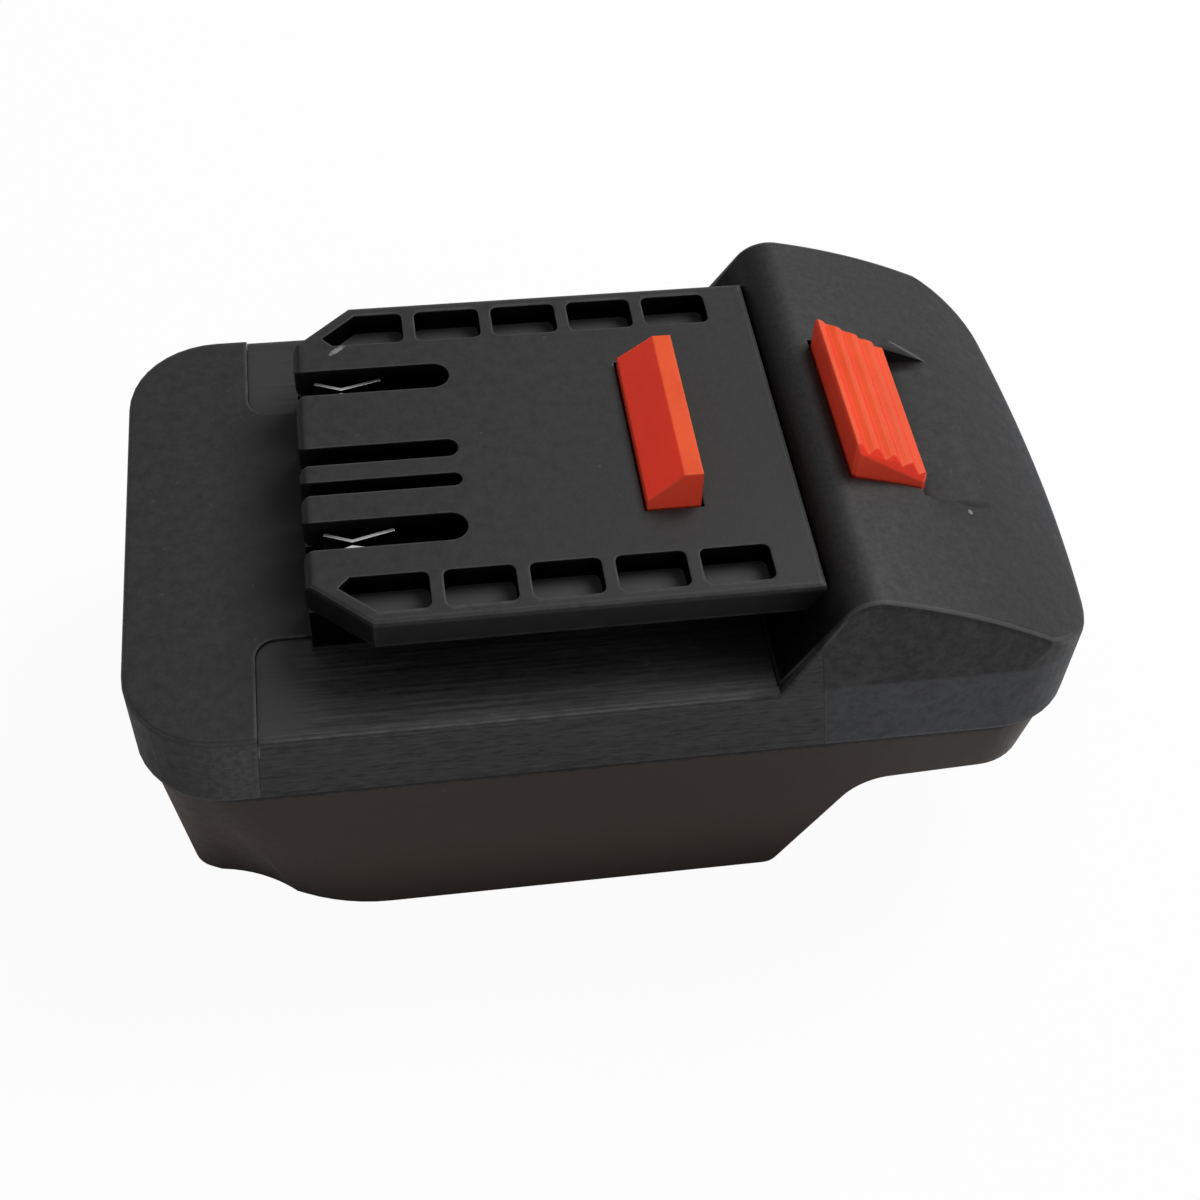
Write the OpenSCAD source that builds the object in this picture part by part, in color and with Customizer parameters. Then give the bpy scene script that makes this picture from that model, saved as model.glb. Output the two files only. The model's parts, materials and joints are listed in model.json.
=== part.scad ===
// Slide-on battery adapter for cordless tools.
// A rail plate on top slides into the tool, and a receptacle underneath takes the battery.
// Length runs along X with the nose at -X, width along Y, and the part stands on z = 0.

/* [Shell] */
// Overall length from nose to tail
shell_l = 134; // [129:1:145]
// Width of the upper shell
shell_w = 76; // [75:1:82]
// Height of the line where the two shells part
split_z = 31; // [30:0.5:34]
// Height of the deck above the parting line
deck_h = 12.9; // [12.6:0.1:14]
// Thickness of the deck
deck_t = 3.2; // [2.8:0.1:3.4]
// Thickness of the upper shell's side walls
wall = 3.2; // [2.8:0.1:3.8]
// Corner radius at the nose
nose_r = 13; // [10:0.5:15]
// Corner radius at the tail
tail_r = 13; // [10:0.5:15]
// Radius of the gently bowed tail end
tail_bow_r = 180; // [140:5:300]

/* [Rail plate] */
// Length of the rail plate
plate_l = 67.7; // [66:0.1:70]
// Width of the rail plate
plate_w = 60.2; // [59:0.1:63]
// Thickness of the rail plate
plate_t = 4.7; // [4.4:0.1:5.4]
// Distance from the nose to the plate's front end
plate_setback = 25.1; // [23:0.1:27]
// Length of the plate's corner cuts
plate_cut_l = 8.4; // [7:0.1:9.5]
// Width of the plate's corner cuts
plate_cut_w = 7.6; // [6.5:0.1:8]
// Clear height of the rail channels under the plate
rail_gap = 7.4; // [7:0.1:9]
// Width of the neck that carries the plate
neck_w = 47; // [46:0.5:49]
// Overhang of the plate's front end past the neck
neck_setback = 0.2; // [0.1:0.1:1]
// Radius of the plate's front edge and of the slots' mouths
mouth_round = 1.5; // [1:0.1:1.5]
// Radius of the plate's top edges
plate_round = 0.7; // [0.3:0.1:1]
// Number of pockets along each edge
pocket_n = 5; // [3:1:5]
// Spacing of the pockets
pocket_pitch = 11.3; // [10.9:0.1:11.5]
// Length of a pocket
pocket_l = 9.5; // [8.5:0.1:9.9]
// Width of a pocket
pocket_w = 6.1; // [5:0.1:6.5]
// Depth of a pocket
pocket_d = 3.5; // [2.5:0.1:3.6]
// Distance from the plate's long edge to the pockets
pocket_edge = 2; // [1.6:0.1:2.6]
// Distance from the plate's tail end to the last pocket
pocket_end = 6.4; // [5.5:0.1:7]
// Corner radius of a pocket
pocket_r = 1; // [0.6:0.1:1.5]

/* [Contact slots] */
// Length of the contact slots
slot_l = 22; // [20:0.5:24]
// Depth of the contact slots below the plate's top
slot_d = 10.5; // [9.5:0.1:11]
// Width of the two power slots
power_slot_w = 4.9; // [4.6:0.1:5.4]
// Distance of the power slots from the middle
power_slot_y = 14.5; // [13.8:0.1:14.7]
// Width of the middle key slot
key_slot_w = 3.3; // [2.6:0.1:4]
// Width of the offset key slot
side_key_w = 2.4; // [2:0.1:3]
// Distance of the offset key slot from the middle
side_key_y = 6; // [5:0.1:7]

/* [Hump] */
// Distance from the hump's foot to the plate's tail end
hump_lap = 6.3; // [5.8:0.1:7]
// Slope of the hump's front face
hump_front_a = 61; // [58:1:66]
// Height of the hump's crest above the plate
crest_h = 3.2; // [2.8:0.1:4]
// Distance from the plate's tail end to the crest
crest_back = 4.2; // [3.6:0.1:5]
// Radius of the crest
crest_r = 5; // [3:0.5:6]
// Radius of the hump's long top curve
hump_top_r = 100; // [85:5:160]
// Drop of the hump's tail below the deck
tail_drop = 1.9; // [1:0.1:2.5]
// Lean of the hump's side faces
hump_draft = 1.8; // [1:0.1:2.2]
// Thickness of the hump's roof
hump_roof = 5.6; // [5.2:0.1:6.2]
// Radius of the deck's and the hump's outer edges
edge_round = 0.8; // [0.3:0.1:1]

/* [Latch and button] */
// Distance from the plate's tail end to the latch's stop face
latch_back = 14.1; // [13:0.1:15]
// Length of the latch along the rail
latch_l = 7.4; // [6.8:0.1:8]
// Width of the latch
latch_w = 28.4; // [26:0.2:29]
// Height of the latch above the plate
latch_h = 5.5; // [5:0.1:5.6]
// Length of the latch's flat top
latch_top_l = 2.6; // [2:0.1:3.2]
// Height of the latch's upright front above the plate
latch_lip = 1.3; // [0.8:0.1:2]
// Lean of the latch's two ends
latch_lean = 0.5; // [0.2:0.1:1]
// Distance from the plate's tail end to the button
button_back = 6.7; // [6.2:0.1:7.4]
// Length of the button
button_l = 11; // [10.4:0.1:11.6]
// Width of the button
button_w = 26.8; // [25:0.2:28]
// Bevel along the button's two ends
button_bevel = 1.2; // [0.8:0.1:1.6]
// Height of the button's first rib above the crest
button_h = 4.6; // [4:0.1:5.2]
// Number of ribs on the button
rib_n = 5; // [4:1:6]
// Drop from the first to the last rib
rib_fall = 6.5; // [6:0.1:7]
// Depth of the valleys between ribs
rib_d = 0.9; // [0.5:0.1:1.1]
// Stroke of the latch and button
travel = 5.6; // [5:0.1:5.8]
// Clearance around the latch and button
slide_gap = 0.4; // [0.3:0.05:0.5]
// Thickness of the bridge that joins latch and button
bridge_t = 3; // [2.6:0.1:3.1]
// Width of the bridge
bridge_w = 22; // [18:0.5:24]
// Length of the thumb recess behind the button
recess_l = 9.6; // [8:0.1:11]
// Depth of the thumb recess at the button
recess_d = 3.6; // [2.8:0.1:3.8]
// Width of the thumb recess
recess_w = 30; // [29:0.2:32]

/* [Springs] */
// Wire diameter of the return springs
spring_wire = 0.8; // [0.6:0.1:1]
// Outer diameter of the return springs
spring_od = 6.8; // [6:0.1:7.2]
// Number of turns
spring_turns = 8; // [6:1:9]
// Distance of each spring from the middle
spring_y = 8; // [7:0.1:8.5]
// Depth of the spring bores in the button
spring_bore_d = 10.6; // [9:0.1:12]
// Thickness of the spring retainer
retainer_t = 2.5; // [2:0.1:3.5]

/* [Rail beds] */
// Length of each rail bed along the parting line
bed_l = 76.4; // [74:0.1:78]
// Lean of each rail bed's front end
bed_front_a = 4; // [0:0.5:8]
// Lean of each rail bed's tail end
bed_end_a = 8.5; // [0:0.5:12]
// Distance from the nose to the rail beds
bed_setback = 17.6; // [16.5:0.1:19]
// Thickness of the rail beds
bed_t = 1.6; // [1.2:0.1:1.8]
// Drop of the rail beds below the deck
bed_drop = 0.4; // [0.2:0.1:0.6]
// Distance of the bed's front pad from the middle
bed_pad_y = 21.5; // [20.5:0.1:23]
// Corner radius of the bed's front pad
bed_pad_r = 3; // [2:0.5:4]
// Clearance around the rail beds
bed_fit = 0.04; // [0.03:0.01:0.1]

/* [Contacts] */
// Thickness of the spring clips' sheet
clip_t = 0.5; // [0.4:0.05:0.6]
// Depth of the clips below the plate's top
clip_top_d = 2; // [1.5:0.1:3]
// Depth of the clips' roots below the plate's top
clip_root_d = 6.5; // [5:0.1:7.5]
// Gap between a clip's leaves where they meet
clip_gap = 0.5; // [0.4:0.1:0.8]
// Width of the clips' solder tabs
clip_tab_w = 4; // [3:0.1:4.4]
// Thickness of the battery blades
blade_t = 0.8; // [0.6:0.1:1]
// Height of the battery blades
blade_h = 7; // [6:0.1:8]
// Free length of the battery blades
blade_l = 15; // [12:0.5:17]
// Distance of the battery blades from the middle
blade_y = 16; // [14.5:0.1:17]
// Height of the blades' lower edge
blade_z = 9; // [8.5:0.1:9.5]
// Diameter of the insulated leads
lead_d = 2.6; // [2:0.1:3]

/* [Receptacle] */
// Set-in of the lower shell's rim from the upper shell
rim_inset = 1; // [0.6:0.1:1.4]
// Thickness of the lower shell's walls
low_wall = 3; // [2.6:0.1:3.4]
// Height of the receptacle's roof
web_z = 20; // [19:0.1:21]
// Thickness of the receptacle's roof
web_t = 3; // [2.6:0.1:3.4]
// Set-back of the nose at the base
nose_tuck = 3; // [2:0.1:4]
// Length of the nose corner cuts at the base
nose_cut_l = 22; // [19:0.5:24]
// Width of the nose corner cuts at the base
nose_cut_w = 10.2; // [9:0.1:11]
// Radius of the nose corners at the base
nose_foot_r = 4; // [2:0.5:6]
// Radius where the corner cuts meet the side walls at the base
nose_side_r = 30; // [20:1:36]
// Depth of the corner cuts' dish at the base
nose_dish_d = 0.9; // [0.5:0.1:1.2]
// Radius of the corner cuts' dish
nose_dish_r = 21; // [16:1:30]
// Distance of the dish from the nose end of its corner cut
nose_dish_l = 10; // [8:0.5:12]
// Flare of the lower shell's walls towards the base
foot_flare = 0.7; // [0:0.1:1]
// Set-in of the skirt's slope below the tail
skirt_tuck = 16; // [13:0.5:18]
// Thickness of the nose wall at the base
nose_wall = 5.5; // [4.5:0.1:6]
// Distance from the tail to the side walls' end at the base
mouth_back = 44; // [41:0.5:47]
// Slope of the side walls' ends
mouth_a = 60.5; // [56:0.5:66]
// Radius where that slope meets the skirt
mouth_r = 8; // [5:0.5:10]
// Radius where that slope meets the base
mouth_foot_r = 2; // [1:0.5:3]
// Rise of the skirt's lower edge towards the tail
skirt_rise = 1.6; // [0.5:0.1:1.8]
// Height of the lip that locates the upper shell
lip_h = 2; // [1.4:0.1:2.6]
// Thickness of the lip
lip_t = 1.4; // [1:0.1:1.8]
// Length of the battery guide rails
guide_l = 62; // [56:1:64]
// Thickness of the battery guide rails
guide_t = 2; // [1.5:0.1:2.4]
// Reach of the guide rails into the receptacle
guide_reach = 5.5; // [4.5:0.1:6]
// Depth of the guide rails in the walls
guide_seat = 1.2; // [0.8:0.1:1.4]
// Height of the guide rails' lower face
guide_z = 7; // [6:0.1:7.5]
// Length of the battery's catch pocket
catch_l = 7; // [6:0.5:9]
// Width of the battery's catch pocket
catch_w = 22; // [18:0.5:26]
// Depth of the battery's catch pocket
catch_d = 1.8; // [1.2:0.1:2]
// Length of the blade block
block_l = 9; // [8.5:0.1:10]
// Width of the blade block
block_w = 43; // [41:0.5:43.5]
// Height of the blade block
block_h = 14; // [13.5:0.1:15]

/* [Fasteners] */
// Shank diameter of the housing screws
screw_d = 3; // [2.6:0.1:3.2]
// Head diameter of the housing screws
screw_head_d = 5.6; // [5:0.1:6]
// Head height of the housing screws
screw_head_h = 1.8; // [1.5:0.1:2]
// Outer diameter of the threaded inserts
insert_d = 4.6; // [4.4:0.1:5]
// Length of the threaded inserts
insert_l = 6; // [5:0.1:7]
// Diameter of the screw bosses
boss_d = 8; // [7.5:0.1:9]
// Shank diameter of the small screws
small_d = 2.2; // [2:0.1:2.4]
// Head diameter of the small screws
small_head_d = 4.2; // [3.8:0.1:4.4]
// Head height of the small screws
small_head_h = 1.6; // [1.3:0.1:1.8]
// Distance of the plate screws from the middle
plate_screw_y = 20.3; // [20.1:0.1:20.4]
// Clearance of seated pieces
fit = 0.1; // [0.05:0.01:0.15]

/* [Hidden] */

$fn = 48;
// A length that reaches right across the part
far = 200;
// Overshoot of cuts, and the lap of joined forms
over = 1;
eps = 0.01;

// Stations along X
nose_x = -shell_l / 2;
tail_x = shell_l / 2;
plate_x0 = nose_x + plate_setback;
plate_x1 = plate_x0 + plate_l;
neck_x0 = plate_x0 + neck_setback;
hump_x0 = plate_x1 - hump_lap;
crest_x = plate_x1 + crest_back;
latch_x1 = plate_x1 - latch_back;
latch_x0 = latch_x1 - latch_l;
button_x0 = plate_x1 + button_back;
button_x1 = button_x0 + button_l;
button_mid = (button_x0 + button_x1) / 2;
slot_x1 = plate_x0 + slot_l;
bed_x0 = nose_x + bed_setback;

// Levels along Z
rest_gap = 0.3;
deck_z = split_z + deck_h;
deck_under = deck_z - deck_t;
bed_z = deck_z - bed_drop;
plate_z0 = deck_z + rail_gap;
plate_z1 = plate_z0 + plate_t;
slot_z = plate_z1 - slot_d;
crest_z = plate_z1 + crest_h;
tail_z = deck_z - tail_drop;
bridge_z1 = deck_under - rest_gap;
bridge_z0 = bridge_z1 - bridge_t;
stop_z = bridge_z0 - travel - rest_gap;
web_top = web_z + web_t;
head_seat = web_z + skirt_rise + screw_head_h;

// Long top curve of the hump: a circle through the crest and the tail
hump_chord = [tail_x - crest_x, tail_z - crest_z];
hump_half = norm(hump_chord) / 2;
hump_sink = sqrt(hump_top_r * hump_top_r - hump_half * hump_half) / (2 * hump_half);
hump_centre = [
  (crest_x + tail_x) / 2 + hump_chord[1] * hump_sink,
  (crest_z + tail_z) / 2 - hump_chord[0] * hump_sink
];
function hump_top(x) = hump_centre[1] + sqrt(hump_top_r * hump_top_r - pow(x - hump_centre[0], 2));

// Crest blend: a circle that touches the front face and lies inside the top curve
front_normal = [-sin(hump_front_a), cos(hump_front_a)];
front_dir = [cos(hump_front_a), sin(hump_front_a)];
blend_off = front_normal * (hump_centre - [hump_x0, deck_z]) + crest_r;
blend_centre = hump_centre - blend_off * front_normal
  + sqrt(pow(hump_top_r - crest_r, 2) - blend_off * blend_off) * front_dir;
blend_a = atan2(blend_centre[1] - hump_centre[1], blend_centre[0] - hump_centre[0]);
tail_a = atan2(tail_z - hump_centre[1], tail_x - hump_centre[0]);
hump_steps = 16;
hump_step_a = (blend_a - tail_a) / hump_steps;

// Contact slots: distance from the middle and width
slot_list = [
  [power_slot_y, power_slot_w], [-power_slot_y, power_slot_w],
  [0, key_slot_w], [-side_key_y, side_key_w]
];

// Neck hollow that takes the clip carrier
hollow_wall = 2.5;
carrier_side = 1.25;
carrier_back = 9.4;
carrier_edge = 3;
hollow_x0 = neck_x0 + hollow_wall;
hollow_x1 = slot_x1 + carrier_back;
hollow_y = power_slot_y + power_slot_w / 2 + carrier_side;
flange_t = 2;
flange_z = deck_under - flange_t;

// Screw places, each a distance along X and one from the middle
front_screw = [22.5, 12];
rear_screw = [14.5, 11];
housing_xy = [
  [nose_x + front_screw[0], shell_w / 2 - front_screw[1]],
  [tail_x - rear_screw[0], shell_w / 2 - rear_screw[1]]
];
plate_screw_in = [10.4, 9.3];
plate_screw_x = [plate_x0 + plate_screw_in[0], plate_x1 - plate_screw_in[1]];
carrier_xy = [hollow_x1 + carrier_edge, 8];
retainer_boss_d = 7;
retainer_room = 0.8;
retainer_xy = [button_mid, button_w / 2 + slide_gap + retainer_room + retainer_boss_d / 2];
block_screw_y = 7;

// How far the small screws reach, and the room left past their tips
retainer_grip = 6.5;
carrier_grip = 5.5;
block_grip = 4;
plate_skin = 1;
tip_room = 0.5;

// Clip stations behind the plate's front end, and the clip's plan from tip to tip
clip_tip_l = 2.8;
clip_meet_l = 6.5;
clip_bend_l = 12.2;
clip_play = 0.2;
clip_root_play = 0.8;
clip_tab_drop = 3.4;
clip_side = power_slot_w / 2 - clip_t / 2 - clip_play;
clip_meet = clip_gap / 2 + clip_t / 2;
clip_root_x = slot_x1 - power_slot_w / 2 - clip_root_play;
clip_half = [
  [clip_root_x, clip_side], [plate_x0 + clip_bend_l, clip_side],
  [plate_x0 + clip_meet_l, clip_meet], [plate_x0 + clip_tip_l, clip_side]
];
clip_tab_z = bridge_z0 - clip_tab_drop;

// Receptacle stations
foot_nose_x = nose_x + rim_inset + nose_tuck;
foot_y = shell_w / 2 - rim_inset;
foot_w = foot_y + foot_flare;
cave_y = foot_y - low_wall;
cave_x0 = foot_nose_x + nose_wall;
cave_corner_x = foot_nose_x + nose_cut_l;
mouth_x = tail_x - mouth_back;
catch_back = 7;
block_room = 1;
block_x0 = cave_x0 + block_room;
block_x1 = block_x0 + block_l;
block_z0 = web_z - block_h;
block_mid = (block_x0 + block_x1) / 2;
block_boss_d = 6;

// Blade ends and lead ends
blade_seat = 3;
blade_tail_w = 4;
blade_tail_h = 5;
blade_corner = 1.5;
blade_x0 = block_x0 + blade_seat;
blade_x1 = block_x1 + blade_l;
blade_z1 = blade_z + blade_h;
blade_tail_z = web_top + blade_tail_h;
lead_edge = 0.3;
lead_start = [blade_x0 + blade_tail_w + fit / 2, blade_y, blade_tail_z - lead_d / 2 - lead_edge];
lead_end = [clip_root_x - clip_t / 2 - fit / 2, power_slot_y, clip_tab_z + lead_d / 2 + lead_edge];

function arc(c, r, a0, a1, n) = [
  for (i = [0:n])
    let (a = a0 + (a1 - a0) * i / n)
    c + r * [cos(a), sin(a)]
];
function reversed(p) = [for (i = [len(p) - 1:-1:0]) p[i]];
function flip_y(p) = [for (q = reversed(p)) [q[0], -q[1]]];
function unit(v) = v / norm(v);
function left_of(v) = [-v[1], v[0]];

// Shares of a rounding's radius at half its turn: how far it comes in and how far it drops
round_in = 1 - cos(45);
round_drop = 1 - sin(45);

// Plan of the shells, set in from the upper shell's wall
module plan(inset) {
  bow_x = tail_x - tail_bow_r;
  cy = shell_w / 2 - tail_r;
  cx = bow_x + sqrt(pow(tail_bow_r - tail_r, 2) - cy * cy);
  turn = atan2(cy, cx - bow_x);
  half = concat(
    arc([bow_x, 0], tail_bow_r - inset, 0, turn, 8),
    arc([cx, cy], tail_r - inset, turn + (90 - turn) / 10, 90, 9),
    arc([nose_x + nose_r, shell_w / 2 - nose_r], nose_r - inset, 90, 180, 10)
  );
  polygon(concat(half, flip_y([for (i = [1:len(half) - 1]) half[i]])));
}
module prism(z0, z1, inset) {
  translate([0, 0, z0]) linear_extrude(z1 - z0) plan(inset);
}

// An X-Z profile extruded across the width, and a Y-Z section extruded along the length
module across(width) {
  rotate([90, 0, 0]) linear_extrude(width, center = true) children();
}
module along(length) {
  rotate([90, 0, 90]) linear_extrude(length, center = true) children();
}
module box(lo, hi) {
  translate(lo) cube(hi - lo);
}
module post(z0, z1, d) {
  translate([0, 0, z0]) cylinder(d = d, h = z1 - z0);
}
module both_sides() {
  children();
  mirror([0, 1, 0]) children();
}
module at_pair(xy) {
  for (side = [-1, 1]) translate([xy[0], side * xy[1], 0]) children();
}
module at_housing_screws() {
  for (xy = housing_xy) at_pair(xy) children();
}
module at_plate_screws() {
  for (x = plate_screw_x) at_pair([x, plate_screw_y]) children();
}

// A sheet-metal strip in plan: the path thickened to both sides
function strip_side(path, t) = [
  for (i = [0:len(path) - 1])
    let (
      n0 = left_of(unit(path[max(i, 1)] - path[max(i, 1) - 1])),
      n1 = left_of(unit(path[min(i + 1, len(path) - 1)] - path[min(i, len(path) - 2)])),
      m = unit(n0 + n1)
    )
    path[i] + m * t / 2 / (m * n0)
];
module strip(path, t) {
  polygon(concat(strip_side(path, t), reversed(strip_side(path, -t))));
}

// A round tube swept along points, as one closed skin
function frame_x(d) = unit(cross(abs(d[2]) > 0.9 ? [1, 0, 0] : [0, 0, 1], d));
function tube_dir(path, i) = unit(path[min(i + 1, len(path) - 1)] - path[max(i - 1, 0)]);
module tube(path, d, sides) {
  n = len(path);
  rings = [
    for (i = [0:n - 1], k = [0:sides - 1])
      let (t = tube_dir(path, i), u = frame_x(t), v = cross(t, u))
      path[i] + d / 2 * (cos(360 * k / sides) * u + sin(360 * k / sides) * v)
  ];
  ends = [path[0], path[n - 1]];
  skin = [
    for (i = [0:n - 2], k = [0:sides - 1], half = [0, 1])
      let (a = i * sides + k, b = i * sides + (k + 1) % sides)
      half == 0 ? [a, a + sides, b] : [b, a + sides, b + sides]
  ];
  caps = [
    for (k = [0:sides - 1], tip = [0, 1])
      let (a = tip * (n - 1) * sides + k, b = tip * (n - 1) * sides + (k + 1) % sides)
      tip == 0 ? [n * sides, a, b] : [n * sides + 1, b, a]
  ];
  polyhedron(concat(rings, ends), concat(skin, caps));
}

// Deck and hump
function hump_profile(cut) = concat(
  [
    [hump_x0 + cut - (deck_h + over) / tan(hump_front_a), split_z - over],
    [hump_x0 + cut, deck_z]
  ],
  cut > 0 ? [] : arc(blend_centre, crest_r, 90 + hump_front_a, blend_a, 8),
  arc(hump_centre, hump_top_r - cut, blend_a - hump_step_a, tail_a - hump_step_a, hump_steps),
  [[tail_x + 2 * over, split_z - over]]
);
module deck(top_z) {
  intersection() {
    hull() {
      prism(split_z, top_z - edge_round, 0);
      prism(split_z, top_z - round_drop * edge_round, round_in * edge_round);
      prism(split_z, top_z, edge_round);
    }
    box([nose_x, -shell_w / 2, split_z], [crest_x, shell_w / 2, top_z]);
  }
}
module hump_layer(inset, drop) {
  lean_z = crest_z + over;
  lean = hump_draft * (lean_z - deck_z) / (crest_z - deck_z);
  side = shell_w / 2 - inset;
  intersection() {
    translate([0, 0, -drop]) across(far) polygon(hump_profile(0));
    prism(split_z, lean_z, inset);
    along(far) polygon([
      [-side, split_z], [side, split_z], [side, deck_z],
      [side - lean, lean_z], [lean - side, lean_z], [-side, deck_z]
    ]);
  }
}
module hump() {
  hull() {
    hump_layer(0, edge_round);
    hump_layer(round_in * edge_round, round_drop * edge_round);
    hump_layer(edge_round, 0);
  }
}
module hump_hollow() {
  intersection() {
    across(far) polygon(hump_profile(hump_roof));
    prism(split_z - eps, crest_z, wall + hump_draft);
  }
}
module recess_layer(rise, width) {
  x0 = button_x1 + slide_gap;
  x1 = button_x1 + recess_l;
  z0 = hump_top(x0) - recess_d;
  translate([0, 0, rise]) across(width) polygon([
    [x0 - over, z0], [x0, z0], [x1, hump_top(x1)], [x1, crest_z], [x0 - over, crest_z]
  ]);
}
module thumb_recess() {
  hull() {
    recess_layer(0, recess_w - 2 * edge_round);
    recess_layer(edge_round, recess_w);
  }
}

// Rail bed: a pad on the deck, and a strip that folds down the side wall and runs up the hump's side
module bed_pad(grow) {
  x0 = bed_x0 - grow;
  x1 = hump_x0 - rest_gap + grow;
  pad_x1 = neck_x0 - 2 * fit + grow;
  pad_y = bed_pad_y - grow;
  side_y = neck_w / 2 + 2 * fit - grow;
  wall_y = shell_w / 2 + (grow > 0 ? over : 0);
  z0 = bed_z - bed_t - grow;
  z1 = grow > 0 ? deck_z + eps : bed_z;
  translate([0, 0, z0]) linear_extrude(z1 - z0) polygon(concat(
    [[x1, side_y], [x1, wall_y], [x0, wall_y]],
    arc([x0 + bed_pad_r, pad_y + bed_pad_r], bed_pad_r, 180, 270, 6),
    [[pad_x1, pad_y], [pad_x1, side_y]]
  ));
}
module bed_strip(grow) {
  front_x = hump_x0 - rest_gap - grow;
  z0 = split_z - over;
  z1 = bed_z + grow;
  y0 = shell_w / 2 - bed_t - grow;
  y1 = shell_w / 2 + over;
  function start_x(z) = bed_x0 - grow - (z1 - z) * tan(bed_front_a);
  function end_x(z) = bed_x0 + bed_l + grow - (z - split_z) * tan(bed_end_a);
  translate([0, (y0 + y1) / 2, 0]) across(y1 - y0) polygon([
    [start_x(z0), z0], [end_x(z0), z0], [end_x(crest_z), crest_z],
    [front_x, crest_z], [front_x, z1], [start_x(z1), z1]
  ]);
}
module rail_bed() {
  intersection() {
    union() {
      bed_pad(0);
      bed_strip(0);
    }
    union() {
      deck(bed_z);
      hump();
    }
  }
}
module rail_bed_left() {
  color("#34343a") rail_bed();
}
module rail_bed_right() {
  color("#34343a") mirror([0, 1, 0]) rail_bed();
}

// Contact slots, open at the front and round at the inner end
module slot(y, w) {
  x1 = slot_x1 - w / 2;
  box([plate_x0 - over, y - w / 2, slot_z], [x1, y + w / 2, plate_z1 + over]);
  translate([x1, y, 0]) post(slot_z, plate_z1 + over, w);
}
module slots() {
  for (s = slot_list) slot(s[0], s[1]);
}

// Rounding of the slots' mouths at the plate's front end, and of its top front edge
module corner_round(r) {
  difference() {
    translate([-over, -over]) square(r + over);
    translate([r, r]) circle(r);
  }
}
module plate_rounds() {
  translate([plate_x0, 0, plate_z0 - over]) linear_extrude(plate_t + 2 * over) {
    for (s = slot_list) translate([0, s[0]]) both_sides() translate([0, s[1] / 2]) corner_round(mouth_round);
  }
  translate([plate_x0, 0, plate_z1]) mirror([0, 0, 1]) across(far) corner_round(mouth_round);
}

module upper_shell() {
  neck_root = hump_x0 + plate_t + rest_gap;
  color("#303035") difference() {
    union() {
      difference() {
        union() {
          deck(deck_z);
          hump();
          box([neck_x0, -neck_w / 2, deck_z - over], [neck_root, neck_w / 2, plate_z0]);
        }
        prism(split_z - over, deck_under, wall);
        hump_hollow();
      }
      for (xy = housing_xy) upper_boss(xy, boss_d);
      upper_boss(retainer_xy, retainer_boss_d);
    }
    // Seat of the plate's tail end, and what passes the neck, deck and hump
    box([hump_x0, -plate_w / 2 - fit, plate_z0], [plate_x1 + fit, plate_w / 2 + fit, crest_z]);
    box([hollow_x0, -hollow_y, deck_under - over], [hollow_x1, hollow_y, plate_z0 + over]);
    slots();
    latch_way(deck_under - over, plate_z0 + over);
    box(
      [button_x0 - slide_gap, -button_w / 2 - slide_gap, split_z],
      [button_x1 + slide_gap, button_w / 2 + slide_gap, crest_z + over]
    );
    thumb_recess();
    both_sides() {
      bed_pad(bed_fit);
      bed_strip(bed_fit);
    }
    // Screw and insert holes
    at_housing_screws() post(split_z - over, split_z + insert_l + fit, insert_d + fit);
    at_plate_screws() post(deck_under - over, plate_z0 + over, small_d + 2 * fit);
    at_pair(carrier_xy) post(deck_under - over, deck_under + carrier_grip + tip_room, small_d + fit);
    at_pair(retainer_xy) post(split_z - over, split_z + retainer_grip + tip_room, small_d + fit);
  }
}
// A boss from the parting line up to whatever roof lies above it
module upper_boss(xy, d) {
  intersection() {
    union() {
      prism(split_z, deck_under + eps, 0);
      hump();
    }
    at_pair(xy) post(split_z, crest_z, d);
  }
}
module latch_way(z0, z1) {
  box(
    [latch_x0 - slide_gap, -latch_w / 2 - slide_gap, z0],
    [latch_x1 + slide_gap, latch_w / 2 + slide_gap, z1]
  );
}

module plate_layer(inset, drop) {
  side = [
    [plate_x1, plate_w / 2], [plate_x0 + plate_cut_l, plate_w / 2],
    [plate_x0, plate_w / 2 - plate_cut_w]
  ];
  translate([0, 0, plate_z0]) linear_extrude(plate_t - drop) offset(delta = -inset) {
    polygon(concat(side, flip_y(side)));
  }
}
module rail_plate() {
  color("#2b2b30") difference() {
    hull() {
      plate_layer(0, plate_round);
      plate_layer(round_in * plate_round, round_drop * plate_round);
      plate_layer(plate_round, 0);
    }
    slots();
    plate_rounds();
    latch_way(plate_z0 - over, plate_z1 + over);
    both_sides() pockets();
    at_plate_screws() post(plate_z0 - over, plate_z1 - plate_skin, small_d + fit);
  }
}
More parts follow.
